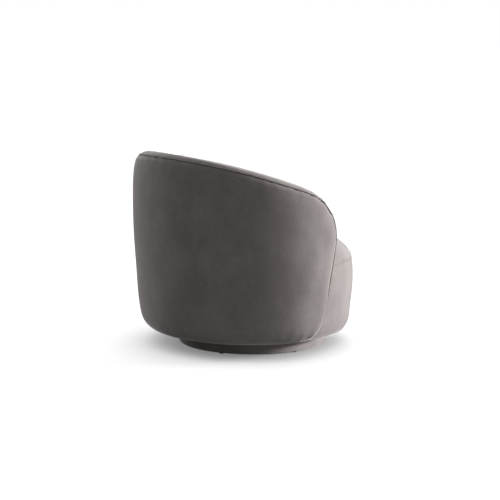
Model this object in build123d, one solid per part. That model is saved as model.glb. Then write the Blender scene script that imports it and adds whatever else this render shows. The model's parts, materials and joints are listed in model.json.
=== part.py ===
"""Swivel tub chair: a round upholstered seat drum, wrapped by a low barrel-shaped back
that runs forward into two short arms, turning on a ball-bearing plate over a round plinth.

Millimetres, +Z up, the sitter faces -Y. Everything round is centred on the swivel axis.
Each piece is modelled about that axis and moved at the end, so that the origin lies on the
floor under the middle of the chair's outline.
"""
from build123d import *
import os
from math import asin, atan, cos, hypot, radians, sin, sqrt, tan

# Outline of the tub: a barrel, widest at the belly, rounded in to a flat underside.
underside_height = 56.0
belly_height = 515.0
belly_radius = 437.5
lower_bow_radius = 2930.0
upper_bow_radius = 1650.0
underside_round = 80.0
wall_thickness = 96.0

# Side view of the tub: the rim falls from the back, turns a round corner into the arm front.
rim_height = 718.0
rim_bow_radius = 1282.0
rim_slope_share = 0.236
arm_front_y = -59.2
arm_front_level = 300.0
arm_lean_angle = 8.3
arm_top_corner = 183.0
arm_low_corner = 135.0
arm_edge_land = 1.0

# Seat drum.
drum_setback = 67.0
drum_widest_height = 245.0
drum_foot_rise = 61.7
drum_foot_setback = 10.5
drum_foot_bow = 130.0
seam_height = 319.0
seam_setback = 4.0
seam_tuck = 3.0
seam_half_width = 1.5
seat_height = 414.0
seat_shoulder_setback = 120.5
seat_shoulder_share = 0.79
seat_edge_setback = 40.5
seat_edge_share = 0.474
drum_gap = 1.0
drum_hug_angle = 20.0

# Upholstery layers.
hem_thickness = 2.0
soft_gap = 0.3
outer_pad_thickness = 16.0
hem_width = 24.0
inner_pad_rise = 6.0
dust_cover_thickness = 1.0
dust_cover_clear = 5.4

# Boards and frame of the chair.
board_thickness = 18.0
base_board_setback = 1.9
base_board_hole = 38.0
frame_depth = 34.0
foot_setback = 5.0
foot_height = 164.0
foot_taper = 66.0
panel_thickness = 3.5
panel_gap = 0.2
inner_panel_low = 300.0
rib_angles = (-78.0, -52.0, -26.0, 0.0, 26.0, 52.0, 78.0)
bolt_angles = (-65.0, -39.0, -13.0, 13.0, 39.0, 65.0)
mid_rail_height = 330.0
lap_gap = 0.2
rim_cushion = 44.0
arm_cushion = 64.0
rail_low_y = 20.0
post_setback = 62.0
low_rail_thickness = 24.0
low_rail_seat = 33.0
frame_bolt_radius = 4.0
frame_bolt_head_radius = 9.0
frame_bolt_head = 3.0
frame_bolt_setback = 19.0
frame_bolt_cover = 4.0
hole_gap = 0.2

# Seat platform inside the drum.
platform_height = 230.0
platform_ring_width = 66.0
platform_setback = 38.5
platform_gap = 20.0
drum_rib_count = 8
drum_rib_inner_radius = 110.0
drum_rib_hole_share = 0.48
strap_width = 50.0
strap_thickness = 1.5
strap_pitch_share = 0.314
strap_numbers = (-2, -1, 0, 1, 2)
strap_tail = 28.0
strap_clear = 0.2
border_panel_thickness = 4.0

# Plinth.
plinth_radius = 272.0
plinth_height = 44.0
plinth_hoop_thickness = 18.0
plinth_board_thickness = 15.0
plinth_board_top = 36.0
plinth_hole_clear = 6.0
plinth_edge_ease = 2.0
plinth_hem_width = 16.0
plinth_cover_thickness = 1.5
brace_width = 40.0
glide_height = 3.0
glide_radius = 7.5
glide_count = 6
glide_stem_radius = 1.5
glide_stem_length = 14.0

# Ball-bearing swivel plate.
plate_size = 230.0
plate_corner = 14.0
plate_thickness = 2.5
race_radius = 78.0
race_half_width = 9.0
race_gap = 0.5
race_skirt_thickness = 2.5
race_skirt_gap = 4.3
hub_hole_radius = 34.0
hub_clear = 3.0
hub_wall = 3.0
hub_flange_lip = 8.0
hub_flange = 3.0
fixing_margin = 20.0
screw_radius = 3.0
screw_head_radius = 6.5
screw_head = 2.6
screw_length = 13.0
bolt_radius = 4.0
bolt_head_radius = 7.0
bolt_head = 4.0
tee_nut_radius = 12.0
tee_nut_flange = 1.5
tee_nut_wall = 1.2
tee_nut_depth = 12.0

# Sizes that follow from the ones above.
overrun = 0.05 * belly_radius
reach = 4 * belly_radius
lean = radians(arm_lean_angle)
half_wall = wall_thickness / 2
board_bottom = underside_height + hem_thickness + soft_gap
board_top = board_bottom + board_thickness
panel_inset = outer_pad_thickness + soft_gap
frame_outer_inset = panel_inset + panel_thickness + panel_gap
frame_inner_inset = frame_outer_inset + frame_depth
foot_inset = wall_thickness - foot_setback
foot_taper_top = foot_height + foot_taper
inner_pad_low = foot_taper_top + inner_pad_rise
low_rail_top = board_top + low_rail_thickness
over_rim = rim_height + overrun
drum_radius = belly_radius - drum_setback
drum_foot_height = board_top + drum_foot_rise
drum_foot_side_radius = drum_radius - drum_foot_setback
drum_foot_centre = drum_foot_side_radius - drum_foot_bow
drum_foot_flat = drum_foot_centre + sqrt(drum_foot_bow ** 2 - (drum_foot_height - underside_height) ** 2)
seam_radius = drum_radius - seam_setback
seat_rise = seat_height - seam_height
base_board_radius = drum_foot_flat - base_board_setback
low_rail_inner_radius = base_board_radius - low_rail_seat
frame_bolt_circle = base_board_radius - frame_bolt_setback
platform_radius = drum_radius - platform_setback
platform_hole_radius = platform_radius - platform_ring_width
platform_top = platform_height + board_thickness
padding_inner_radius = platform_radius + border_panel_thickness + panel_gap + soft_gap
strap_pitch = strap_pitch_share * platform_hole_radius
strap_step = strap_thickness + strap_clear
webbing_top = platform_top + strap_thickness + strap_step
upper_plate_low = board_bottom - plate_thickness
lower_plate_top = plinth_board_top + plate_thickness
race_height = (upper_plate_low + lower_plate_top) / 2
hub_radius = hub_hole_radius - hub_clear
hub_flange_radius = hub_hole_radius + hub_flange_lip
tee_nut_barrel_radius = bolt_radius + hole_gap + tee_nut_wall


def save(name, shape):
    """Write one node, moved so that the origin is under the middle of the outline."""
    to_origin = Pos(0, (drum_radius - belly_radius) / 2, 0)
    solids = [to_origin * solid for solid in shape.solids()]
    export_step(Compound(children=solids) if len(solids) > 1 else solids[0], f"parts/{name}.step")


# Outline functions: radii at a height, and the side view.

def bow(height):
    """Radius of the barrel at a height, as if its underside weren't rounded."""
    bow_radius = lower_bow_radius if height < belly_height else upper_bow_radius
    return belly_radius - bow_radius + sqrt(bow_radius ** 2 - (height - belly_height) ** 2)


def underside_arc():
    """Centre of the rounding between barrel and underside, and where it leaves the barrel."""
    centre_height = underside_height + underside_round
    tilt = atan((belly_height - centre_height) / lower_bow_radius)
    leave_height = centre_height - underside_round * sin(tilt)
    return bow(leave_height) - underside_round * cos(tilt), centre_height, leave_height, tilt


def outer_radius(height, inset):
    """Radius of the tub's outer face at a height, moved inward by an inset."""
    arc_radius, arc_height, leave_height, tilt = underside_arc()
    if height >= leave_height + inset * sin(tilt):
        return bow(height) - inset
    drop = min(arc_height - height, underside_round - inset)
    return arc_radius + sqrt((underside_round - inset) ** 2 - drop ** 2)


def front_y(height, setback):
    """The leaning front face of the arms in side view, moved back by a setback."""
    return arm_front_y + tan(lean) * (arm_front_level - height) + setback / cos(lean)


rim_start = bow(rim_height) - half_wall


def rim_at(y):
    """Height and slope angle of the crown of the rim at a place in side view."""
    back = rim_start - y
    slope = rim_slope_share + back / rim_bow_radius
    return rim_height - rim_slope_share * back - back ** 2 / (2 * rim_bow_radius), atan(slope)


def top_corner():
    """Centre of the round corner between the rim and the arm front, and its start on the rim."""
    low, high = arm_front_y, rim_start
    for step in range(40):
        start = (low + high) / 2
        height, slope = rim_at(start)
        centre_y = start + arm_top_corner * sin(slope)
        centre_height = height - arm_top_corner * cos(slope)
        if (centre_y - front_y(centre_height, 0)) * cos(lean) > arm_top_corner:
            high = start
        else:
            low = start
    return centre_y, centre_height, start


corner_y, corner_height, corner_start = top_corner()
foot_corner_height = underside_height + arm_low_corner
foot_corner_y = front_y(foot_corner_height, arm_low_corner)


def edge_depth(y, height):
    """How far a point of the side view lies inside the tub's rim and arm front."""
    start_slope = rim_at(corner_start)[1]
    dy, dz = y - corner_y, height - corner_height
    past_rim = -dy * cos(start_slope) - dz * sin(start_slope)
    above_front = dz * cos(lean) - dy * sin(lean)
    if past_rim > 0 and above_front > 0:
        return arm_top_corner - hypot(dy, dz)
    dy, dz = y - foot_corner_y, height - foot_corner_height
    if dy < 0 and dz * cos(lean) - dy * sin(lean) < 0:
        return arm_low_corner - hypot(dy, dz)
    rim, slope = rim_at(y)
    return min((rim - height) * cos(slope), (y - front_y(height, 0)) * cos(lean))


def edge_round(y, height):
    """Radius of the wall's rounded edge: full on rim and arm front, fading under the arm."""
    full = half_wall - arm_edge_land
    if height > foot_corner_height or y > foot_corner_y:
        return full
    return full * min(1, (foot_corner_y - y) / (foot_corner_y - front_y(foot_corner_height, 0)))


def on_station(angle, radius, height):
    """Point at a radius from the swivel axis, in the plane of a station of the tub.

    Every station's plane passes through the line up the middle of the leaning arm front.
    """
    line_y = front_y(height, half_wall)
    along = sqrt(radius ** 2 - (line_y * sin(angle)) ** 2) - line_y * cos(angle)
    return Vector(along * sin(angle), line_y + along * cos(angle), height)


def station_depth(angle, height):
    """How far the middle of the wall lies inside the edge, at a station and a height."""
    y = on_station(angle, bow(height) - half_wall, height).Y
    return y, edge_depth(y, height)


def edge_height(angle, inside, outside):
    """Height at which a station's wall ends, between one inside it and one outside."""
    for step in range(40):
        height = (inside + outside) / 2
        if station_depth(angle, height)[1] > 0:
            inside = height
        else:
            outside = height
    return inside


straight_shares = (0.25, 0.5, 0.75)
round_angles = (0, 24, 48, 72)
station_angles = tuple(range(0, 90, 6))
front_shares = (0, 0.3, 0.55, 0.75, 0.88, 0.96, 0.99)


def tub_section(angle):
    """Points round the tub's wall at one station, from the inner foot over the rim to the outer foot."""
    top = edge_height(angle, arm_front_level, rim_height)
    low = underside_height
    if station_depth(angle, low)[1] < 0:
        low = edge_height(angle, arm_front_level, low)
    top_start, low_end = top - half_wall, low + underside_round
    heights = [low + (low_end - low) * (1 - cos(radians(a))) for a in round_angles]
    heights += [low_end + (top_start - low_end) * share for share in straight_shares]
    heights += [top - (top - top_start) * (1 - cos(radians(90 - a))) for a in round_angles]
    inner_side, outer_side = [], []
    for height in heights:
        y, depth = station_depth(angle, height)
        rounding = edge_round(y, height)
        depth = min(max(depth, 0), rounding)
        width = half_wall - rounding + sqrt(rounding ** 2 - (rounding - depth) ** 2)
        middle = bow(height) - half_wall
        inner_side.append(on_station(angle, middle - width, height))
        outer_side.append(on_station(angle, min(middle + width, outer_radius(height, 0)), height))
    crown = on_station(angle, bow(top) - half_wall, top)
    return inner_side + [crown] + outer_side[::-1]


def spacing(points):
    """Places of the points along their curve, as shares of its length."""
    steps = [(end - start).length for start, end in zip(points, points[1:])]
    return [sum(steps[:number]) / sum(steps) for number in range(len(points))]


def tub_solid():
    """The whole wall of the tub as one soft solid, lofted round from arm front to arm front.

    All stations share one spacing and lie close together, so straight strips between them do.
    """
    past = [asin(share * half_wall / (bow(arm_front_level) - half_wall)) for share in front_shares]
    angles = [radians(a) for a in station_angles] + [radians(90) + turn for turn in past]
    angles = [-a for a in angles[:0:-1]] + angles
    sections = [tub_section(a) for a in angles]
    shares = [sum(places) / len(places) for places in zip(*[spacing(points) for points in sections])]
    outlines = [Edge.make_spline(points, parameters=shares) for points in sections]
    wires = [Wire([outline, Line(outline @ 1, outline @ 0)]) for outline in outlines]
    return Solid.make_loft(wires, ruled=True)


# Helpers for solids about the swivel axis and flat cutters.

def at(radius, height):
    """Point of a turned outline."""
    return Vector(radius, 0, height)


def drum(radius, low, high):
    """Plain round slab between two heights."""
    return Pos(0, 0, low) * Cylinder(radius, high - low, align=(Align.CENTER, Align.CENTER, Align.MIN))


def slab(low, high):
    """Everything between two heights."""
    return Pos(0, 0, low) * Box(reach, reach, high - low, align=(Align.CENTER, Align.CENTER, Align.MIN))


def beyond(plane):
    """Everything on the side of a plane that its normal points to."""
    return plane * Box(reach, reach, reach, align=(Align.CENTER, Align.CENTER, Align.MIN))


def front_plane(setback):
    """Plane of the leaning arm fronts, set back into the arm."""
    origin = (0, front_y(arm_front_level, setback), arm_front_level)
    return Plane(origin, x_dir=(1, 0, 0), z_dir=(0, -cos(lean), -sin(lean)))


def rail_plane(lift):
    """Sloping top of the frame, below the rim by the depth of its cushion."""
    back_height = rim_height - rim_cushion
    fall = back_height - (rim_at(rail_low_y)[0] - arm_cushion)
    tilt = atan(fall / (rim_start - rail_low_y))
    origin = (0, rim_start - lift * sin(tilt), back_height + lift * cos(tilt))
    return Plane(origin, x_dir=(1, 0, 0), z_dir=(0, -sin(tilt), cos(tilt)))


def wall_points(inset, low):
    """Points up a surface inside the wall: bent boards are cones between the frame's levels."""
    levels = (board_top, low_rail_top, underside_arc()[2], inner_panel_low, belly_height,
              (belly_height + rim_height) / 2, over_rim)
    heights = [low] + sorted(level for level in levels if level > low)
    return [at(outer_radius(height, inset), height) for height in heights]


def turned_outline(points):
    """Solid of revolution about the swivel axis, from the corners of its outline."""
    return revolve(Face(Wire(Polyline(*points, close=True).edges())), Axis.Z)


def bent_panel(inset, low):
    """Thin board bent round the frame, with its outer face at an inset from the barrel."""
    return turned_outline(wall_points(inset, low) + wall_points(inset + panel_thickness, low)[::-1])


def round_group(shape, radius, count):
    """Copies of one small piece, evenly spaced on a circle."""
    places = [Rot(0, 0, number * 360 / count) * Pos(radius, 0, 0) for number in range(count)]
    return Compound(children=[place * shape for place in places])


def corner_group(shape):
    """Copies of one small piece at the four corners of the swivel plate."""
    half = plate_size / 2 - fixing_margin
    return Compound(children=[Pos(x, y, 0) * shape for x in (-half, half) for y in (-half, half)])


# Plinth.

hoop_outer = plinth_radius - plinth_cover_thickness - soft_gap
hoop_inner = hoop_outer - plinth_hoop_thickness
hoop_low = glide_height + plinth_cover_thickness + soft_gap
hoop_high = plinth_height - plinth_cover_thickness - soft_gap
glide_circle = (hoop_outer + hoop_inner) / 2
braces_low = hoop_low
braces_high = plinth_board_top - plinth_board_thickness


def glide():
    """Low furniture glide with its nail."""
    nail = drum(glide_stem_radius, glide_height, glide_height + glide_stem_length)
    return drum(glide_radius, 0, glide_height) + nail


def glide_holes(low, high):
    """Holes that the nails of the glides pass through."""
    return round_group(drum(glide_stem_radius + hole_gap, low, high), glide_circle, glide_count)


def plinth_hoop():
    """Bent timber hoop of the plinth."""
    band = drum(hoop_outer, hoop_low, hoop_high) - drum(hoop_inner, 0, plinth_height)
    return band - glide_holes(hoop_low - overrun, glide_height + glide_stem_length + hole_gap)


def plinth_cover():
    """Fabric band around the hoop, turned in over its top and bottom edges."""
    hem_radius, height = plinth_radius - plinth_hem_width, plinth_height - glide_height
    profile = Pos(hem_radius, glide_height) * Rectangle(plinth_hem_width, height, align=Align.MIN)
    profile = chamfer(profile.vertices().sort_by(Axis.X)[-2:], plinth_edge_ease)
    band = revolve(Plane.XZ * profile, Axis.Z)
    band -= drum(plinth_radius - plinth_cover_thickness, hoop_low - soft_gap, hoop_high + soft_gap)
    return band - glide_holes(0, hoop_low)


def plinth_board():
    """Round board let into the hoop, which carries the swivel plate."""
    board = drum(hoop_inner - lap_gap, braces_high, plinth_board_top)
    board -= drum(hub_flange_radius + plinth_hole_clear, 0, plinth_height)
    return board - corner_group(drum(screw_radius + hole_gap, lower_plate_top - screw_length, plinth_height))


def plinth_braces():
    """Two battens under the plinth board, halved over each other around the hub."""
    half_height = (braces_low + braces_high) / 2
    length = 2 * (hoop_inner - lap_gap)
    inside = drum(hoop_inner - lap_gap, 0, plinth_height)
    batten = Pos(0, 0, braces_low) * Box(length, brace_width, braces_high - braces_low,
                                         align=(Align.CENTER, Align.CENTER, Align.MIN))
    notch = Pos(0, 0, half_height) * Box(brace_width + lap_gap, length, length,
                                         align=(Align.CENTER, Align.CENTER, Align.MIN))
    low_batten = (batten & inside) - notch
    cross = Pos(0, 0, half_height) * Box(length, brace_width + lap_gap, length,
                                         align=(Align.CENTER, Align.CENTER, Align.MAX))
    high_batten = (Rot(0, 0, 90) * batten & inside) - cross
    return Compound(children=[low_batten, high_batten])


# Swivel plate.

def square_plate(low):
    """Square steel plate with rounded corners and a hole for the hub."""
    outline = RectangleRounded(plate_size, plate_size, plate_corner) - Circle(hub_hole_radius)
    return Pos(0, 0, low) * extrude(outline, plate_thickness)


def race_ring(low, high):
    """Raised ring of a plate, which the balls run in."""
    outer = race_radius + race_half_width
    return drum(outer, low, high) - drum(race_radius - race_half_width, low - overrun, high + overrun)


def lower_plate():
    """Fixed plate of the swivel, screwed to the plinth board."""
    plate = square_plate(plinth_board_top) + race_ring(lower_plate_top, race_height - race_gap / 2)
    return plate - corner_group(drum(screw_radius + hole_gap, 0, plinth_height))


def upper_plate():
    """Turning plate of the swivel, with a skirt that closes the race from outside."""
    plate = square_plate(upper_plate_low) + race_ring(race_height + race_gap / 2, upper_plate_low)
    skirt_inner = race_radius + race_half_width + race_gap
    skirt = drum(skirt_inner + race_skirt_thickness, lower_plate_top + race_skirt_gap, upper_plate_low)
    plate += skirt - drum(skirt_inner, 0, upper_plate_low)
    return plate - corner_group(drum(bolt_radius + hole_gap, plinth_board_top, board_top))


def hub():
    """Hollow hub of the upper plate, flared under the lower plate so that neither can lift."""
    flange_top = plinth_board_top - soft_gap
    tube = drum(hub_radius, flange_top - hub_flange, board_bottom)
    flange = drum(hub_flange_radius, flange_top - hub_flange, flange_top)
    collar = drum(hub_hole_radius - hole_gap, upper_plate_low, board_bottom)
    return tube + flange + collar - drum(hub_radius - hub_wall, 0, board_top)


def plate_screws():
    """Wood screws through the corners of the lower plate."""
    shank = drum(screw_radius, lower_plate_top - screw_length, lower_plate_top)
    return corner_group(shank + drum(screw_head_radius, lower_plate_top, lower_plate_top + screw_head))


def plate_bolts():
    """Bolts through the corners of the upper plate, up into the tee nuts."""
    head = drum(bolt_head_radius, upper_plate_low - bolt_head, upper_plate_low)
    return corner_group(head + drum(bolt_radius, upper_plate_low, board_top))


def tee_nuts():
    """Tee nuts set into the top of the base board."""
    nut = drum(tee_nut_radius, board_top, board_top + tee_nut_flange)
    nut += drum(tee_nut_barrel_radius, board_top - tee_nut_depth, board_top)
    return corner_group(nut - drum(bolt_radius + hole_gap, board_bottom, platform_height))


# Base board and underside.

def frame_bolt_holes():
    """Holes for the bolts that hold the tub's frame on the base board."""
    hole = Pos(0, frame_bolt_circle, 0) * drum(frame_bolt_radius + hole_gap, board_bottom, low_rail_top)
    return Compound(children=[Rot(0, 0, angle) * hole for angle in bolt_angles])


def frame_bolts():
    """Bolts from the low rail down into the base board."""
    bolt = drum(frame_bolt_radius, board_bottom + frame_bolt_cover, low_rail_top)
    bolt += drum(frame_bolt_head_radius, low_rail_top, low_rail_top + frame_bolt_head)
    bolt = Pos(0, frame_bolt_circle, 0) * bolt
    return Compound(children=[Rot(0, 0, angle) * bolt for angle in bolt_angles])


def base_board():
    """Round board that carries the seat drum and the tub, over the swivel plate."""
    board = drum(base_board_radius, board_bottom, board_top) - drum(base_board_hole, 0, platform_height)
    nut_holes = corner_group(drum(tee_nut_barrel_radius + hole_gap, board_top - tee_nut_depth, board_top))
    board -= corner_group(drum(bolt_radius + hole_gap, board_bottom, board_top)) + nut_holes
    return board - frame_bolt_holes()


def dust_cover():
    """Thin cloth under the base board, inside the turned-in hems of the covers."""
    outer = drum_foot_flat - hem_width - soft_gap
    high = board_bottom - soft_gap
    ring = drum(outer, high - dust_cover_thickness, high)
    return ring - drum(plate_size / sqrt(2) + dust_cover_clear, plinth_height, platform_height)


# Frame of the tub.

def frame_region():
    """The turned space inside the wall that the frame's boards are cut from."""
    outside = wall_points(frame_outer_inset, board_top)
    inside = wall_points(frame_inner_inset, foot_taper_top)
    foot = [at(low_rail_inner_radius, board_top), at(low_rail_inner_radius, low_rail_top),
            at(bow(low_rail_top) - foot_inset, low_rail_top), at(bow(foot_height) - foot_inset, foot_height)]
    return turned_outline(outside + inside[::-1] + foot[::-1])


def lap_radius():
    """Radius at which ribs and middle rail are halved into each other."""
    return bow(mid_rail_height) - frame_outer_inset - frame_depth / 2


def low_rail(region):
    """Horseshoe board at the foot of the tub, its edge bevelled to the rounded underside."""
    rail = region & slab(board_top, low_rail_top)
    return rail - beyond(front_plane(post_setback)) - frame_bolt_holes()


def mid_rail(region):
    """Horseshoe board half way up, slotted from outside where the ribs cross it."""
    rail = region & slab(mid_rail_height, mid_rail_height + board_thickness)
    rail -= beyond(front_plane(post_setback + board_thickness + lap_gap))
    slot = Box(board_thickness + 2 * lap_gap, reach, reach, align=(Align.CENTER, Align.MIN, Align.CENTER))
    slot -= drum(lap_radius() - lap_gap, 0, rim_height)
    for angle in rib_angles:
        rail -= Rot(0, 0, angle) * slot
    return rail


def top_rail(region):
    """Sloping horseshoe board under the rim."""
    rail = region - beyond(rail_plane(0)) - beyond(rail_plane(-board_thickness).rotated((180, 0, 0)))
    return rail - beyond(front_plane(post_setback))


def ribs(region):
    """Upright boards shaped to the barrel, notched from inside for the middle rail."""
    upright = region - beyond(rail_plane(-board_thickness)) - slab(0, low_rail_top)
    notch_top = mid_rail_height + board_thickness + lap_gap
    upright -= drum(lap_radius() + lap_gap, mid_rail_height - lap_gap, notch_top)
    plate = Box(board_thickness, reach, reach, align=(Align.CENTER, Align.MIN, Align.CENTER))
    return Compound(children=[upright & Rot(0, 0, angle) * plate for angle in rib_angles])


def posts(region):
    """Leaning boards that close the frame behind the arm fronts."""
    upright = region - beyond(rail_plane(-board_thickness)) - slab(0, low_rail_top)
    upright -= beyond(front_plane(post_setback))
    return upright & beyond(front_plane(post_setback + board_thickness))


def outer_panel():
    """Thin bent board around the outside of the frame."""
    panel = bent_panel(panel_inset, board_top)
    return panel - beyond(rail_plane(0)) - beyond(front_plane(post_setback))


def inner_panel():
    """Thin bent board around the inside of the frame, above the seat."""
    panel = bent_panel(frame_inner_inset + panel_gap, inner_panel_low)
    return panel - beyond(rail_plane(0)) - beyond(front_plane(post_setback))


# Upholstery of the tub.

def outside_seam():
    """Everything outside the surface that the tub's seam lies on, with the hem below."""
    seam = wall_points(outer_pad_thickness, underside_height + outer_pad_thickness)
    hem_radius, hem_top = seam[0].X - hem_width, underside_height + hem_thickness
    far, below = belly_radius + overrun, underside_height - overrun
    around = [at(far, over_rim), at(far, below), at(hem_radius, below), at(hem_radius, hem_top),
              at(seam[0].X, hem_top)]
    return turned_outline(seam + around)


def frame_space():
    """Space under the inner upholstery that holds the frame, open to the seat drum at its foot."""
    face = wall_points(frame_inner_inset + panel_gap + panel_thickness + soft_gap, inner_pad_low)
    far, below = belly_radius + overrun, underside_height - overrun
    mouth = low_rail_inner_radius - wall_thickness
    around = [at(far, over_rim), at(far, below), at(mouth, below), at(mouth, inner_pad_low)]
    space = turned_outline(face + around)
    return space - beyond(rail_plane(soft_gap)) - beyond(front_plane(post_setback - soft_gap))


def back_upholstery():
    """Outer panel up to the seam on the shoulder, and the inner panel with rim and arm fronts."""
    hem_top = underside_height + hem_thickness
    wall = tub_solid() - drum(base_board_radius + soft_gap, hem_top, board_top + soft_gap)
    outside = outside_seam()
    return wall & outside, wall - frame_space() - outside


# Seat drum.

crown_shares = (0.7, 0.37, 0)


def drum_outline():
    """Half outline of the seat: crowned, drawn in at the seam, rounded in to the underside."""
    half_turn = asin((drum_foot_height - underside_height) / drum_foot_bow) / 2
    foot = at(drum_foot_flat, underside_height)
    foot_mid_radius = drum_foot_centre + drum_foot_bow * cos(half_turn)
    foot_mid = at(foot_mid_radius, drum_foot_height - drum_foot_bow * sin(half_turn))
    side = at(drum_foot_side_radius, drum_foot_height)
    belly = at(drum_radius, drum_widest_height)
    seam_low = at(seam_radius, seam_height - seam_half_width)
    seam = at(seam_radius - seam_tuck, seam_height)
    seam_top = at(seam_radius, seam_height + seam_half_width)
    edge = at(drum_radius - seat_edge_setback, seam_height + seat_edge_share * seat_rise)
    shoulder = at(drum_radius - seat_shoulder_setback, seam_height + seat_shoulder_share * seat_rise)
    crown_fall = seat_height - shoulder.Z
    crown_bow = (shoulder.X ** 2 + crown_fall ** 2) / (2 * crown_fall)
    rings = [shoulder.X * share for share in crown_shares]
    crown = [at(ring, seat_height - crown_bow + sqrt(crown_bow ** 2 - ring ** 2)) for ring in rings]
    rest = Polyline(shoulder, *crown, at(0, underside_height), foot)
    return Face(Wire([ThreePointArc(foot, foot_mid, side), ThreePointArc(side, belly, seam_low),
                      Line(seam_low, seam), Line(seam, seam_top), ThreePointArc(seam_top, edge, shoulder),
                      *rest.edges()]))


def window(inner_radius, low, high):
    """Flat cutter for the half outline, from a radius outward between two heights."""
    return Plane.XZ * Pos(inner_radius, low) * Rectangle(reach, high - low, align=Align.MIN)


def arm_tip(level):
    """Centre of the rounding at the end of an arm, in side view."""
    tip = front_y(level, 0)
    if level < foot_corner_height:
        tip = foot_corner_y - sqrt(arm_low_corner ** 2 - (foot_corner_height - level) ** 2)
    return tip + edge_round(tip, level)


def drum_plan(height, level, gap):
    """Plan of the seat at a height: full in front, narrower inside the tub, hugging the arm ends."""
    middle = bow(level) - half_wall
    centre = Vector(sqrt(middle ** 2 - arm_tip(level) ** 2), arm_tip(level), 0)
    out = centre.normalized()
    ahead = Vector(out.Y, -out.X, 0)
    clear = half_wall + gap

    def on_arm(angle):
        """Point on the circle round the arm's end, measured from straight ahead."""
        return centre + (ahead * cos(radians(angle)) + out * sin(radians(angle))) * clear

    inner, bend, end = on_arm(-90), on_arm((drum_hug_angle - 90) / 2), on_arm(drum_hug_angle)
    back_mid = (inner + Vector(0, inner.length, 0)).normalized() * inner.length
    front_mid = (end + Vector(0, -end.length, 0)).normalized() * end.length
    right = [(Vector(0, inner.length, 0), back_mid, inner), (inner, bend, end),
             (end, front_mid, Vector(0, -end.length, 0))]
    left = [[Vector(-p.X, p.Y, 0) for p in arc[::-1]] for arc in right[::-1]]
    lift = Vector(0, 0, height)
    return Wire([ThreePointArc(*[p + lift for p in arc]) for arc in right + left])


arm_foot_shares = (0, 0.04, 0.12, 0.25, 0.45, 0.7, 1)


def seat_space(gap):
    """The space left for the seat between the arms, as a ruled loft of its plans."""
    levels = [underside_height + arm_low_corner * share for share in arm_foot_shares]
    plans = [(underside_height - overrun, underside_height)] + [(level, level) for level in levels[1:]]
    plans += [(seam_height, seam_height), (seat_height + overrun, seat_height)]
    return Solid.make_loft([drum_plan(height, level, gap) for height, level in plans], ruled=True)


def seat_upholstery(space):
    """Crowned seat cushion, firm core on the webbing, and the padded border with its hem."""
    outline = drum_outline()
    seat = outline & window(0, seam_height, seat_height + overrun)
    core = drum(padding_inner_radius - soft_gap, webbing_top + soft_gap, seam_height - soft_gap)
    border = outline & window(padding_inner_radius, 0, seam_height)
    border += outline & window(base_board_radius + soft_gap, 0, board_top - soft_gap)
    border += outline & window(drum_foot_flat - hem_width, 0, underside_height + hem_thickness)
    return revolve(seat, Axis.Z) & space, core & space, revolve(border, Axis.Z) & space


def platform_ring(space):
    """Ring board on top of the drum's ribs, which the webbing is fixed to."""
    ring = drum(platform_radius, platform_height, platform_top) & space
    return ring - drum(platform_hole_radius, 0, seam_height)


def drum_ribs(space):
    """Upright boards in the drum, each with a round cut-out that clears the narrowest of them."""
    blank = drum(platform_radius, board_top, platform_height) - drum(drum_rib_inner_radius, 0, seam_height)
    blank = blank & space
    middle = (board_top + platform_height) / 2
    room = bow(middle) - wall_thickness - platform_gap - drum_rib_inner_radius
    hole = Pos(drum_rib_inner_radius + room / 2, 0, middle) * Rot(90, 0, 0)
    hole = hole * Cylinder(drum_rib_hole_share * room / 2, reach)
    plate = Box(reach, board_thickness, reach, align=(Align.MIN, Align.CENTER, Align.CENTER)) - hole
    turns = [(number + 0.5) * 360 / drum_rib_count for number in range(drum_rib_count)]
    return Compound(children=[blank & Rot(0, 0, turn) * plate for turn in turns])


def border_panel(space):
    """Thin bent board round the front of the drum."""
    outer = platform_radius + border_panel_thickness
    panel = drum(outer, board_top, platform_top) - drum(platform_radius, 0, seam_height)
    return panel & space


def strap(number, first_over):
    """One elastic strap along X, passing over and under the straps that cross it."""
    place = number * strap_pitch
    end = sqrt(platform_hole_radius ** 2 - place ** 2) + strap_tail
    path = [(-end, 0)]
    for crossing in strap_numbers:
        rise = strap_step if (crossing + number + first_over) % 2 else 0
        half = strap_width / 2 + strap_clear
        path += [(crossing * strap_pitch - half, rise), (crossing * strap_pitch + half, rise)]
    path += [(end, 0)]
    low = [Vector(x, place - strap_width / 2, platform_top + rise) for x, rise in path]
    high = [point + Vector(0, 0, strap_thickness) for point in low[::-1]]
    return extrude(Face(Wire(Polyline(*low, *high, close=True).edges())), strap_width, dir=(0, 1, 0))


def webbing():
    """Elastic straps woven across the platform ring."""
    across = [strap(number, 0) for number in strap_numbers]
    along = [Rot(0, 0, 90) * strap(number, 1) for number in strap_numbers]
    return Compound(children=across + along)


def build_base():
    """Everything that stands still on the floor."""
    save("plinth_glides", round_group(glide(), glide_circle, glide_count))
    save("plinth_hoop", plinth_hoop())
    save("plinth_cover", plinth_cover())
    save("plinth_board", plinth_board())
    save("plinth_braces", plinth_braces())
    save("swivel_lower_plate", lower_plate())
    save("lower_plate_screws", plate_screws())


def build_swivel():
    """The turning half of the swivel and the board that it carries."""
    save("swivel_upper_plate", upper_plate())
    save("swivel_hub", hub())
    save("upper_plate_bolts", plate_bolts())
    save("tee_nuts", tee_nuts())
    save("base_board", base_board())
    save("dust_cover", dust_cover())


def build_frame():
    """Boards of the tub's frame."""
    region = frame_region()
    save("tub_low_rail", low_rail(region))
    save("tub_mid_rail", mid_rail(region))
    save("tub_top_rail", top_rail(region))
    save("tub_ribs", ribs(region))
    save("arm_posts", posts(region))
    save("frame_bolts", frame_bolts())
    save("tub_outer_panel", outer_panel())
    save("tub_inner_panel", inner_panel())


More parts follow.
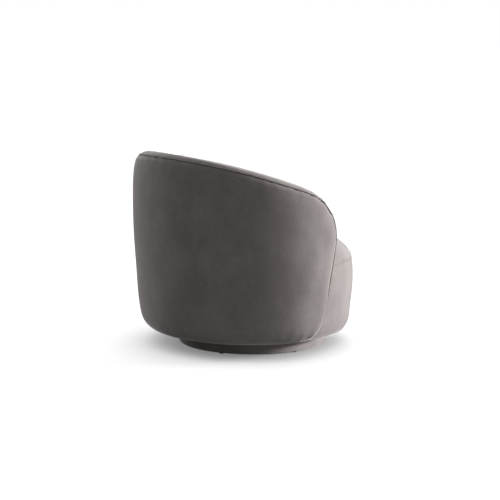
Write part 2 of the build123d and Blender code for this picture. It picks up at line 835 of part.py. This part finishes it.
def build_seat():
    """The seat drum from its platform to its covers."""
    inner_space = seat_space(platform_gap)
    save("drum_ribs", drum_ribs(inner_space))
    save("platform_ring", platform_ring(inner_space))
    save("seat_webbing", webbing())
    space = seat_space(drum_gap)
    save("drum_border_panel", border_panel(space))
    cushion, core, border = seat_upholstery(space)
    save("seat_cushion", cushion)
    save("seat_core", core)
    save("seat_border", border)


def build_back():
    """Upholstery of the tub."""
    outer, inner = back_upholstery()
    save("back_outer_panel", outer)
    save("back_inner_panel", inner)


os.makedirs("parts", exist_ok=True)
build_base()
build_swivel()
build_frame()
build_seat()
build_back()
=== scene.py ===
# %% [markdown]
# A swivel tub chair in warm grey velvet.
# A round, crowned seat drum is wrapped by a low barrel-shaped back, whose rim falls forward
# into two short arms. The whole chair turns on a low round plinth, covered in the same velvet.
# The measured model is loaded first, as a fixed frame: wooden boards, swivel plate, webbing
# and one plain solid for each upholstered panel. The lesson is about dressing it: tight velvet
# panels with crisp seams, and the soft light that lets velvet show its pile.

# %% Load the measured model
import math

import bpy
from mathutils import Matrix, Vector
from mathutils.kdtree import KDTree
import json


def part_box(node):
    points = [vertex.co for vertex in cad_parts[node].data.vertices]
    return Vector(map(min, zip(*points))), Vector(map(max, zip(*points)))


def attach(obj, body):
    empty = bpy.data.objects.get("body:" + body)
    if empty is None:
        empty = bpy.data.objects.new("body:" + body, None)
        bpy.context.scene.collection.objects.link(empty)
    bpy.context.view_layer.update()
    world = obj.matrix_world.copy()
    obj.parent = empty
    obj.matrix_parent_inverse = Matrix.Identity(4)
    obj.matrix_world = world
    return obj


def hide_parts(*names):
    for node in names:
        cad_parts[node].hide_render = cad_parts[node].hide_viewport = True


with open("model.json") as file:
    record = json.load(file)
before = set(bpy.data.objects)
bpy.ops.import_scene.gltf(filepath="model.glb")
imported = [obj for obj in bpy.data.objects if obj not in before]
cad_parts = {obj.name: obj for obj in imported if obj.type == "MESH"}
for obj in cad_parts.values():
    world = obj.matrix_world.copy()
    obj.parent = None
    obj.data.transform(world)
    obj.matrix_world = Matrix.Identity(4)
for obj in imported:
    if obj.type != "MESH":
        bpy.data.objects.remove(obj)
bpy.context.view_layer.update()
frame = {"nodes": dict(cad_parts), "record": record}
scene = bpy.context.scene
plinth_low, plinth_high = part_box("plinth_cover")
swivel_y = plinth_low.y + (plinth_high.x - plinth_low.x) / 2

# %% [markdown]
# The camera comes first, because every later choice is judged through it.
# The chair was photographed from behind its right arm, the sitter's right, with a long lens,
# slightly above seat level: far away and zoomed in, so that the outline hardly narrows with
# distance.
# The direction is given as two angles around the swivel axis, which is easier to correct by
# eye than a location: one turns around the chair, the other climbs over it. The zoom is given
# as the pixels that a metre takes up at the swivel axis, in a picture 500 pixels wide.

# %% Camera
view_angle = math.radians(235.0)
view_height_angle = math.radians(9.2217)
view_distance = 6.0
aim = Vector((0.0, swivel_y, 0.3356))
side_step = -0.008756
picture_width = 500
pixels_per_metre = 271.3
sensor_width = 36.0

toward_camera = Vector((math.sin(view_angle) * math.cos(view_height_angle),
                        -math.cos(view_angle) * math.cos(view_height_angle),
                        math.sin(view_height_angle)))
to_the_right = Vector((math.cos(view_angle), math.sin(view_angle), 0.0))

camera_data = bpy.data.cameras.new("camera")
camera_data.sensor_width = sensor_width
camera_data.lens = pixels_per_metre * view_distance / picture_width * sensor_width
camera = bpy.data.objects.new("camera", camera_data)
scene.collection.objects.link(camera)
camera.location = aim + to_the_right * side_step + toward_camera * view_distance
camera.rotation_euler = (-toward_camera).to_track_quat("-Z", "Y").to_euler()
scene.camera = camera
print("lens", round(camera_data.lens, 1), "mm")

# %% [markdown]
# Four small helpers make every material here. The first gives a material its node tree with
# the principled shader ready. The others build on it: a noise pattern on the object's own
# coordinates, a ramp that turns it into colour, and a bump. Noise mixed into colours is the
# base of nearly every natural finish.

# %% Helpers for materials
def new_material(name):
    """A new material, with its node tree and its principled shader."""
    material = bpy.data.materials.new(name)
    material.use_nodes = True
    tree = material.node_tree
    return material, tree, tree.nodes["Principled BSDF"]


def noise(tree, scale, detail=3.0, rough=0.5, stretch=(1.0, 1.0, 1.0)):
    """A noise pattern on the object's own coordinates, stretched along its axes."""
    place = tree.nodes.new("ShaderNodeTexCoord")
    mapping = tree.nodes.new("ShaderNodeMapping")
    mapping.inputs["Scale"].default_value = stretch
    pattern = tree.nodes.new("ShaderNodeTexNoise")
    pattern.inputs["Scale"].default_value = scale
    pattern.inputs["Detail"].default_value = detail
    pattern.inputs["Roughness"].default_value = rough
    tree.links.new(place.outputs["Object"], mapping.inputs["Vector"])
    tree.links.new(mapping.outputs["Vector"], pattern.inputs["Vector"])
    return pattern.outputs["Fac"]


def colours(tree, value, stops):
    """Turn a value into a colour, by a ramp through the given stops."""
    ramp = tree.nodes.new("ShaderNodeValToRGB")
    while len(ramp.color_ramp.elements) < len(stops):
        ramp.color_ramp.elements.new(0.5)
    for element, (position, colour) in zip(ramp.color_ramp.elements, stops):
        element.position = position
        element.color = (*colour, 1.0)
    tree.links.new(value, ramp.inputs["Fac"])
    return ramp.outputs["Color"]


def bump(tree, height, strength, distance):
    """A bump from a height value."""
    node = tree.nodes.new("ShaderNodeBump")
    node.inputs["Strength"].default_value = strength
    node.inputs["Distance"].default_value = distance
    tree.links.new(height, node.inputs["Height"])
    return node.outputs["Normal"]


# %% [markdown]
# Velvet is a short, dense pile. Seen straight on, light sinks between the fibres and the cloth
# looks dark. Seen at a glancing angle the fibre sides catch the light, so every outline glows.
# The sheen lobe of the principled shader does this. The pile is also never brushed evenly, so
# a broad, faint pattern makes some areas a little lighter, and two finer ones give it grain.

# %% Velvet
def make_velvet():
    """Warm grey velvet with faint brush marks and a fine pile."""
    material, tree, shader = new_material("velvet")
    brushed = noise(tree, 9.0, detail=5.0, rough=0.6, stretch=(1.0, 1.0, 0.7))
    base = colours(tree, brushed, [(0.36, (0.27, 0.243, 0.237)), (0.64, (0.33, 0.297, 0.29))])
    pile = noise(tree, 420.0, detail=2.0)
    pile_tone = colours(tree, pile, [(0.3, (0.9, 0.9, 0.9)), (0.7, (1.0, 1.0, 1.0))])
    nap = noise(tree, 75.0, detail=3.0, rough=0.6)
    nap_tone = colours(tree, nap, [(0.35, (0.93, 0.93, 0.93)), (0.65, (1.0, 1.0, 1.0))])
    for layer in (nap_tone, pile_tone):
        mix = tree.nodes.new("ShaderNodeMix")
        mix.data_type = "RGBA"
        mix.blend_type = "MULTIPLY"
        mix.inputs["Factor"].default_value = 1.0
        tree.links.new(base, mix.inputs["A"])
        tree.links.new(layer, mix.inputs["B"])
        base = mix.outputs["Result"]
    tree.links.new(base, shader.inputs["Base Color"])
    shader.inputs["Roughness"].default_value = 0.9
    shader.inputs["Specular IOR Level"].default_value = 0.15
    shader.inputs["Sheen Weight"].default_value = 0.85
    shader.inputs["Sheen Roughness"].default_value = 0.35
    shader.inputs["Sheen Tint"].default_value = (1.0, 0.965, 0.96, 1.0)
    tree.links.new(bump(tree, pile, 0.25, 0.0006), shader.inputs["Normal"])
    return material


velvet = make_velvet()
print("velvet has", len(velvet.node_tree.nodes), "shader nodes")

# %% [markdown]
# Shaping needs a few helpers too. Operators act on everything that is selected, so each piece
# is first made the only selected one. Modifiers are added, set and applied in one go. A copy of
# a measured solid comes as loose triangles, so its points are merged before anything else. And
# much is measured outwards from the swivel axis, since the whole chair is round about it.

# %% Helpers for shaping
weld_distance = 0.00002


def only(obj):
    """Make one object the selected and active one."""
    bpy.ops.object.select_all(action="DESELECT")
    obj.select_set(True)
    bpy.context.view_layer.objects.active = obj


def apply_modifier(piece, kind, **settings):
    """Add a modifier with the given settings, and apply it."""
    only(piece)
    modifier = piece.modifiers.new(kind.lower(), kind)
    for setting, value in settings.items():
        setattr(modifier, setting, value)
    bpy.ops.object.modifier_apply(modifier=modifier.name)


def solid_copy(name, node):
    """A new piece from a measured solid, with its loose triangles merged."""
    piece = bpy.data.objects.new(name, frame["nodes"][node].data.copy())
    scene.collection.objects.link(piece)
    only(piece)
    bpy.ops.object.mode_set(mode="EDIT")
    bpy.ops.mesh.select_all(action="SELECT")
    bpy.ops.mesh.remove_doubles(threshold=weld_distance)
    bpy.ops.object.mode_set(mode="OBJECT")
    return piece


def cover(piece, material):
    """Give a piece one material and no other."""
    piece.data.materials.clear()
    piece.data.materials.append(material)


def outward(point):
    """The level direction from the swivel axis to a point."""
    return Vector((point.co.x, point.co.y - swivel_y, 0.0)).normalized()


def outward_share(point):
    """How far a point's normal leans away from the swivel axis, from -1 to 1."""
    return point.normal.dot(outward(point))


def inward_share(point):
    """How far a point's normal leans towards the swivel axis, from -1 to 1."""
    return -outward_share(point)


def upward_share(point):
    """How far a point's normal leans up, from -1 to 1."""
    return point.normal.z


# %% [markdown]
# Cloth over padding is tight, but never quite flat: it swells a little between its seams. A
# short cloth simulation does that better than any hand-made curve. It runs on a coarse trial
# copy, which is quick, and each point of the fine panel then moves as the trial's nearest points
# did. The side that lies against the wood is pinned, air pressure inside pushes the free side
# out, and gravity is off. The panels are stretched tight, so a few frames are enough. Only what
# a point moves outwards counts, up to a cap, so that the cloth neither dents nor blows up.

# %% Swelling
trial_cell = 0.009
trial_frames = 6
air_pressure = 4.0
free_share = 0.5
near_points = 4
nearest_distance = 0.001


def swell(piece, facing, cap):
    """Let a closed pad swell by a cloth simulation, its points moving no further than the cap."""
    trial = bpy.data.objects.new("trial", piece.data.copy())
    scene.collection.objects.link(trial)
    apply_modifier(trial, "REMESH", mode="VOXEL", voxel_size=trial_cell)
    held = trial.vertex_groups.new(name="held")
    for point in trial.data.vertices:
        if facing(point) < free_share:
            held.add([point.index], 1.0, "REPLACE")
    before = [(point.co.copy(), point.normal.copy()) for point in trial.data.vertices]

    cloth = trial.modifiers.new("swelling", "CLOTH")
    cloth.settings.vertex_group_mass = "held"
    cloth.settings.use_pressure = True
    cloth.settings.uniform_pressure_force = air_pressure
    cloth.settings.effector_weights.gravity = 0.0
    cloth.point_cache.frame_start = 1
    cloth.point_cache.frame_end = trial_frames
    for number in range(1, trial_frames + 1):
        scene.frame_set(number)
    only(trial)
    bpy.ops.object.modifier_apply(modifier="swelling")
    scene.frame_set(1)

    tree = KDTree(len(before))
    ways = []
    for number, (point, (start, normal)) in enumerate(zip(trial.data.vertices, before)):
        ways.append(normal * min(cap, max(0.0, (point.co - start).dot(normal))))
        tree.insert(start, number)
    tree.balance()
    print(piece.name, "swells by up to", round(max(way.length for way in ways) * 1000, 1), "mm")
    for point in piece.data.vertices:
        near = tree.find_n(point.co, near_points)
        shares = [1.0 / (distance + nearest_distance) for place, number, distance in near]
        way = Vector()
        for share, (place, number, distance) in zip(shares, near):
            way += ways[number] * (share / sum(shares))
        point.co += way
    bpy.data.objects.remove(trial)


# %% [markdown]
# The measured solids of the upholstery have knife-sharp edges where two panels meet. A sewn
# panel hasn't: its edge rolls in to the seam. Remeshing a copy of each panel into small even
# cells and smoothing it a little rounds exactly those edges, so two neighbouring panels meet in
# a fine valley, which reads as the seam. The broad faces get a longer smoothing of their own,
# held back near the edges by a vertex group, because cloth pulled over padding has no flats.

# %% Padded panels
broad_from = 0.9
broad_fade = 0.08
broad_smoothing = 120


def padded_panel(name, node, body, facing, cell, smoothing, cap):
    """A soft copy of one upholstered solid, swelled, with rolled edges, in velvet."""
    piece = solid_copy(name, node)
    apply_modifier(piece, "REMESH", mode="VOXEL", voxel_size=cell)
    swell(piece, facing, cap)
    apply_modifier(piece, "SMOOTH", factor=0.5, iterations=smoothing)

    broad = piece.vertex_groups.new(name="broad")
    for point in piece.data.vertices:
        share = (abs(facing(point)) - broad_from) / broad_fade
        broad.add([point.index], min(1.0, max(0.0, share)), "REPLACE")
    apply_modifier(piece, "SMOOTH", factor=0.5, iterations=broad_smoothing, vertex_group="broad")
    piece.vertex_groups.clear()
    bpy.ops.object.shade_smooth()
    cover(piece, velvet)
    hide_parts(node)
    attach(piece, body)
    print(name, "has", len(piece.data.polygons), "faces")
    return piece


back_outside = padded_panel("back_outside", "back_outer_panel", "chair", outward_share,
                            cell=0.004, smoothing=3, cap=0.003)
back_inside = padded_panel("back_inside", "back_inner_panel", "chair", inward_share,
                           cell=0.0045, smoothing=3, cap=0.003)
seat_top = padded_panel("seat_top", "seat_cushion", "chair", upward_share,
                        cell=0.004, smoothing=6, cap=0.004)
seat_side = padded_panel("seat_side", "seat_border", "chair", outward_share,
                         cell=0.004, smoothing=6, cap=0.0005)

# %% [markdown]
# The padding is thickest where the cloth turns a corner: along the lower edges of the tub and of
# the seat, and where the rim turns down into the arms. Points near those lines are pushed out by
# a few millimetres, fading with distance. The corner of the arms has a name of its own, because
# the seam roll will get the same push as the panels.

# %% Corners with more padding
arm_corner = {"centre": (0.0135, 0.60), "reach": 0.13, "push": 0.0095,
              "direction": Vector((0.0, -0.6, 0.8))}
tub_foot = {"centre": (0.387, 0.08), "reach": 0.05, "push": 0.0065}
seat_foot = {"centre": (0.345, 0.066), "reach": 0.05, "push": 0.007}
inner_side_fade = 3.0


def fuller(piece, centre, reach, push, direction=None):
    """Push the points round a centre line outwards, less and less with distance from it.

    The centre line is a point of the side view, as (across, height). Across is the radius for a
    ring round the swivel axis, or the depth when a direction is given.
    """
    ways = []
    for point in piece.data.vertices:
        depth = point.co.y - swivel_y
        across = math.hypot(point.co.x, depth) if direction is None else depth
        offset = (across - centre[0]) ** 2 + (point.co.z - centre[1]) ** 2
        share = math.exp(-offset / reach ** 2)
        if direction is None:
            share *= max(0.0, min(1.0, inner_side_fade * outward_share(point)))
        ways.append((direction or point.normal.copy()) * (push * share))
    for point, way in zip(piece.data.vertices, ways):
        point.co += way


fuller(back_outside, **tub_foot)
fuller(seat_side, **seat_foot)
fuller(back_outside, **arm_corner)
fuller(back_inside, **arm_corner)
print("fullest corner", round(arm_corner["push"] * 1000, 1), "mm")

# %% [markdown]
# Where the outer panel of the back meets the rim, the sewn edge stands up as a thin roll that
# catches the light, over the rim and down both arm fronts. The measured panel already holds
# that line as its sharp edge, so it needn't be drawn again: the sharp edges of a copy are
# selected, everything else is deleted, and the line that is left becomes a fine round roll.

# %% Seam roll of the back
sharp_angle = math.radians(38)
roll_inside_radius = 0.36
roll_lowest = 0.075
roll_stands_out = 0.001
roll_radius = 0.0022


def seam_roll():
    """The thin sewn edge between the back's outer panel and its rim and arm fronts."""
    roll = solid_copy("seam_roll", "back_outer_panel")
    bpy.ops.object.mode_set(mode="EDIT")
    bpy.ops.mesh.select_mode(type="EDGE")
    bpy.ops.mesh.select_all(action="DESELECT")
    bpy.ops.mesh.edges_select_sharp(sharpness=sharp_angle)
    bpy.ops.object.mode_set(mode="OBJECT")
    points = roll.data.vertices
    for edge in roll.data.edges:
        ends = [points[number].co for number in edge.vertices]
        radius = min(math.hypot(end.x, end.y - swivel_y) for end in ends)
        if radius < roll_inside_radius or min(end.z for end in ends) < roll_lowest:
            edge.select = False
    bpy.ops.object.mode_set(mode="EDIT")
    bpy.ops.mesh.select_all(action="INVERT")
    bpy.ops.mesh.delete(type="EDGE")
    bpy.ops.object.mode_set(mode="OBJECT")
    print("seam roll has", len(roll.data.edges), "edges")

    fuller(roll, **arm_corner)
    for point in roll.data.vertices:
        point.co += outward(point) * roll_stands_out
    bpy.ops.object.convert(target="CURVE")
    roll.data.bevel_depth = roll_radius
    roll.data.bevel_resolution = 2
    bpy.ops.object.convert(target="MESH")
    bpy.ops.object.shade_smooth()
    cover(roll, velvet)
    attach(roll, "chair")


seam_roll()

# %% [markdown]
# The plinth is a plywood hoop with velvet pulled round it. It is modelled from a cylinder: the
# two round faces are inset to leave a flat hem, the middles are deleted so that the band is
# open, and the sharp rims are bevelled to the thickness of the cloth over the wood.

# %% Plinth band
hem_width = 0.016
rim_easing = 0.004
rim_angle = math.radians(50)
velvet_thickness = 0.0015
level_share = 0.9


def plinth_band():
    """The velvet band round the plinth."""
    radius = (plinth_high.x - plinth_low.x) / 2
    bpy.ops.object.select_all(action="DESELECT")
    bpy.ops.mesh.primitive_cylinder_add(vertices=160, radius=radius,
                                        depth=plinth_high.z - plinth_low.z,
                                        location=(plinth_low + plinth_high) / 2)
    band = bpy.context.object
    band.name = "plinth_band"
    bpy.ops.object.mode_set(mode="EDIT")
    bpy.ops.mesh.select_mode(type="FACE")
    bpy.ops.mesh.select_all(action="DESELECT")
    bpy.ops.object.mode_set(mode="OBJECT")
    for face in band.data.polygons:
        face.select = abs(face.normal.z) > level_share
    bpy.ops.object.mode_set(mode="EDIT")
    bpy.ops.mesh.inset(thickness=hem_width)
    bpy.ops.mesh.delete(type="FACE")
    bpy.ops.object.mode_set(mode="OBJECT")

    apply_modifier(band, "BEVEL", width=rim_easing, segments=3, limit_method="ANGLE",
                   angle_limit=rim_angle)
    apply_modifier(band, "SOLIDIFY", thickness=velvet_thickness, offset=-1.0)
    bpy.ops.object.transform_apply(location=True, rotation=True, scale=True)
    bpy.ops.object.shade_smooth_by_angle(angle=math.radians(40))
    cover(band, velvet)
    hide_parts("plinth_cover")
    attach(band, "base")
    print("plinth band radius", round(radius, 4))


plinth_band()

# %% [markdown]
# The boards, plates and glides keep their measured shapes and only get better finishes.
# Plywood shows long soft grain and zinc plating a cloudy spangle. Webbing, foam, nylon glides
# and the dust cloth are all dull, with a fine speckle between two tones, so one function makes
# the four of them.

# %% Finishes of the frame
def make_plywood():
    """Pale birch plywood with stretched grain."""
    material, tree, shader = new_material("plywood")
    grain = noise(tree, 24.0, detail=4.0, rough=0.6, stretch=(1.0, 7.0, 7.0))
    colour = colours(tree, grain, [(0.3, (0.43, 0.27, 0.13)), (0.7, (0.62, 0.44, 0.25))])
    tree.links.new(colour, shader.inputs["Base Color"])
    shader.inputs["Roughness"].default_value = 0.65
    tree.links.new(bump(tree, grain, 0.15, 0.0005), shader.inputs["Normal"])
    return material


def make_zinc():
    """Zinc plated steel with a cloudy tone."""
    material, tree, shader = new_material("zinc_steel")
    cloud = noise(tree, 60.0, detail=3.0)
    colour = colours(tree, cloud, [(0.3, (0.42, 0.43, 0.44)), (0.7, (0.6, 0.6, 0.61))])
    tree.links.new(colour, shader.inputs["Base Color"])
    shader.inputs["Metallic"].default_value = 1.0
    shader.inputs["Roughness"].default_value = 0.38
    return material


def make_dull(name, dark, light, scale):
    """A dull material with a fine speckle between two tones."""
    material, tree, shader = new_material(name)
    speckle = noise(tree, scale, detail=2.0)
    colour = colours(tree, speckle, [(0.35, dark), (0.65, light)])
    tree.links.new(colour, shader.inputs["Base Color"])
    shader.inputs["Roughness"].default_value = 0.95
    tree.links.new(bump(tree, speckle, 0.4, 0.0004), shader.inputs["Normal"])
    return material


finishes = {
    "plywood": make_plywood(),
    "steel": make_zinc(),
    "glide": make_dull("black_nylon", (0.006, 0.006, 0.006), (0.012, 0.012, 0.012), 300.0),
    "webbing": make_dull("webbing", (0.018, 0.016, 0.014), (0.035, 0.032, 0.029), 700.0),
    "foam": make_dull("foam", (0.6, 0.56, 0.44), (0.7, 0.66, 0.54), 500.0),
    "dust_cloth": make_dull("dust_cloth", (0.004, 0.004, 0.004), (0.012, 0.012, 0.012), 900.0),
    "velvet": velvet,
}
for part in frame["record"]["subparts"]:
    node = frame["nodes"][part["node"]]
    for material_slot in node.material_slots:
        material_slot.material = finishes[part["material_slot"]]
print("finished", len(frame["nodes"]), "nodes")

# %% [markdown]
# Under the chair a thin black cloth is stapled to the base board, to keep dust out of the seat.
# It is a flat ring round the swivel plate: a filled circle, inset once, its middle deleted and
# the rest given the thickness of the cloth.

# %% Dust cloth
dust_edge_back = 0.0005
dust_plate_gap = 0.006
dust_below_board = 0.0001
dust_thickness = 0.0006


def dust_ring():
    """The thin cloth under the base board."""
    low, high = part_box("dust_cover")
    radius = (high.x - low.x) / 2 - dust_edge_back
    plate_low, plate_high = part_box("swivel_upper_plate")
    inner_radius = (plate_high.x - plate_low.x) / math.sqrt(2) + dust_plate_gap
    bpy.ops.object.select_all(action="DESELECT")
    bpy.ops.mesh.primitive_circle_add(vertices=128, radius=radius, fill_type="NGON",
                                      location=(0.0, swivel_y, high.z - dust_below_board))
    ring = bpy.context.object
    ring.name = "dust_ring"
    bpy.ops.object.mode_set(mode="EDIT")
    bpy.ops.mesh.select_mode(type="FACE")
    bpy.ops.mesh.select_all(action="SELECT")
    bpy.ops.mesh.inset(thickness=radius - inner_radius)
    bpy.ops.mesh.delete(type="FACE")
    bpy.ops.mesh.select_all(action="SELECT")
    bpy.ops.mesh.normals_make_consistent(inside=False)
    bpy.ops.object.mode_set(mode="OBJECT")

    apply_modifier(ring, "SOLIDIFY", thickness=dust_thickness, offset=-1.0)
    bpy.ops.object.transform_apply(location=True, rotation=True, scale=True)
    cover(ring, finishes["dust_cloth"])
    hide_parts("dust_cover")
    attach(ring, "chair")
    print("dust cloth from", round(inner_radius, 4), "to", round(radius, 4))


dust_ring()

# %% [markdown]
# The studio is a pale floor that meets the background without a line. For the camera alone the
# floor gives off white of its own, more with distance, until it can't be told from the
# background. Ambient occlusion, which measures how much of the sky a point can see, takes that
# white away close to the chair. That is painted shade round the chair's foot, seen by the camera
# only, and it deepens the real soft shadow under it.

# %% Floor
def work_out(tree, operation, first, second):
    """One number from two, by a math node."""
    node = tree.nodes.new("ShaderNodeMath")
    node.operation = operation
    tree.links.new(first, node.inputs[0])
    tree.links.new(second, node.inputs[1])
    return node.outputs[0]


def remap(tree, value, source, target):
    """A value taken from one range to another."""
    node = tree.nodes.new("ShaderNodeMapRange")
    for socket, number in zip(("From Min", "From Max", "To Min", "To Max"), (*source, *target)):
        node.inputs[socket].default_value = number
    tree.links.new(value, node.inputs["Value"])
    return node.outputs["Result"]


floor_size = 40.0
sky_reach = 0.5
sky_range, sky_white = (0.1, 0.75), (0.24, 1.0)
fade_range, fade_white = (1.0, 3.0), (0.86, 1.0)

bpy.ops.object.select_all(action="DESELECT")
bpy.ops.mesh.primitive_plane_add(size=floor_size, location=(0.0, 0.0, 0.0))
floor = bpy.context.object
floor.name = "floor"
floor_material, floor_tree, floor_shader = new_material("floor")
floor_shader.inputs["Base Color"].default_value = (0.3, 0.3, 0.3, 1.0)
floor_shader.inputs["Roughness"].default_value = 0.9
floor_shader.inputs["Specular IOR Level"].default_value = 0.1
floor.data.materials.append(floor_material)

# Painted shade: the camera-only white is lowered where the floor sees little sky, close to the
# chair.
open_sky = floor_tree.nodes.new("ShaderNodeAmbientOcclusion")
open_sky.samples = 16
open_sky.inputs["Distance"].default_value = sky_reach
shade = remap(floor_tree, open_sky.outputs["AO"], sky_range, sky_white)
place = floor_tree.nodes.new("ShaderNodeTexCoord")
away = floor_tree.nodes.new("ShaderNodeVectorMath")
away.operation = "LENGTH"
floor_tree.links.new(place.outputs["Object"], away.inputs[0])
fade = remap(floor_tree, away.outputs["Value"], fade_range, fade_white)
white = work_out(floor_tree, "MULTIPLY", shade, fade)
seen = floor_tree.nodes.new("ShaderNodeLightPath")
strength = work_out(floor_tree, "MULTIPLY", white, seen.outputs["Is Camera Ray"])
glow = floor_tree.nodes.new("ShaderNodeEmission")
floor_tree.links.new(strength, glow.inputs["Strength"])
both = floor_tree.nodes.new("ShaderNodeAddShader")
floor_tree.links.new(floor_shader.outputs[0], both.inputs[0])
floor_tree.links.new(glow.outputs[0], both.inputs[1])
floor_tree.links.new(both.outputs[0], floor_tree.nodes["Material Output"].inputs["Surface"])
print("floor has", len(floor_tree.nodes), "shader nodes")

# %% [markdown]
# What the camera sees of the background is white by way of the light path, and the same white is
# what shiny things reflect. As light on the chair the background stays weak, so that the lamps
# decide where it is bright and where it is dark.

# %% Background
world = bpy.data.worlds.new("studio")
scene.world = world
world.use_nodes = True
world_tree = world.node_tree
path = world_tree.nodes.new("ShaderNodeLightPath")
direct = work_out(world_tree, "MAXIMUM", path.outputs["Is Camera Ray"],
                  path.outputs["Is Glossy Ray"])
bright = work_out(world_tree, "MAXIMUM", direct, path.outputs["Is Transmission Ray"])
ambient = world_tree.nodes["Background"]
ambient.inputs["Color"].default_value = (1.0, 1.0, 1.0, 1.0)
ambient.inputs["Strength"].default_value = 0.225
backdrop = world_tree.nodes.new("ShaderNodeBackground")
backdrop.inputs["Color"].default_value = (1.0, 1.0, 1.0, 1.0)
backdrop.inputs["Strength"].default_value = 1.0
mix = world_tree.nodes.new("ShaderNodeMixShader")
world_tree.links.new(bright, mix.inputs[0])
world_tree.links.new(ambient.outputs[0], mix.inputs[1])
world_tree.links.new(backdrop.outputs[0], mix.inputs[2])
world_tree.links.new(mix.outputs[0], world_tree.nodes["World Output"].inputs["Surface"])
print("light from all round", round(ambient.inputs["Strength"].default_value, 3))

# %% [markdown]
# One strong soft lamp stands fairly low and square to the camera's right, so that it rakes
# across the pile and leaves most of the back in shade. It is wide and flat: its light fades
# softly round the chair, and little of it falls on the floor. A high one behind the chair draws
# a thin light line along the rim and throws the soft shadow on the floor towards us, and a weak
# one far left lifts that outline.

# %% Lamps
lamp_aim = Vector((0.0, swivel_y, 0.35))


def soft_lamp(name, turn, height, distance, size, power):
    """A soft lamp aimed at the chair, turned to the right of the camera's direction."""
    angle = view_angle + math.radians(turn)
    data = bpy.data.lights.new(name, "AREA")
    data.shape = "RECTANGLE"
    data.size, data.size_y = size
    data.energy = power
    lamp = bpy.data.objects.new(name, data)
    scene.collection.objects.link(lamp)
    lamp.location = (lamp_aim.x + math.sin(angle) * distance,
                     lamp_aim.y - math.cos(angle) * distance, height)
    lamp.rotation_euler = (lamp_aim - lamp.location).to_track_quat("-Z", "Y").to_euler()
    print(name, "gives", power, "W")


soft_lamp("key_lamp", turn=95.0, height=1.15, distance=4.5, size=(1.8, 0.5), power=372.0)
soft_lamp("back_lamp", turn=176.0, height=2.8, distance=2.0, size=(2.2, 2.2), power=44.0)
soft_lamp("rim_lamp", turn=-118.0, height=1.2, distance=3.2, size=(1.2, 1.2), power=27.0)

# %% [markdown]
# The plain view transform shows each colour as it is written.

# %% View settings and the end of the scene
scene.view_settings.view_transform = "Standard"
import json
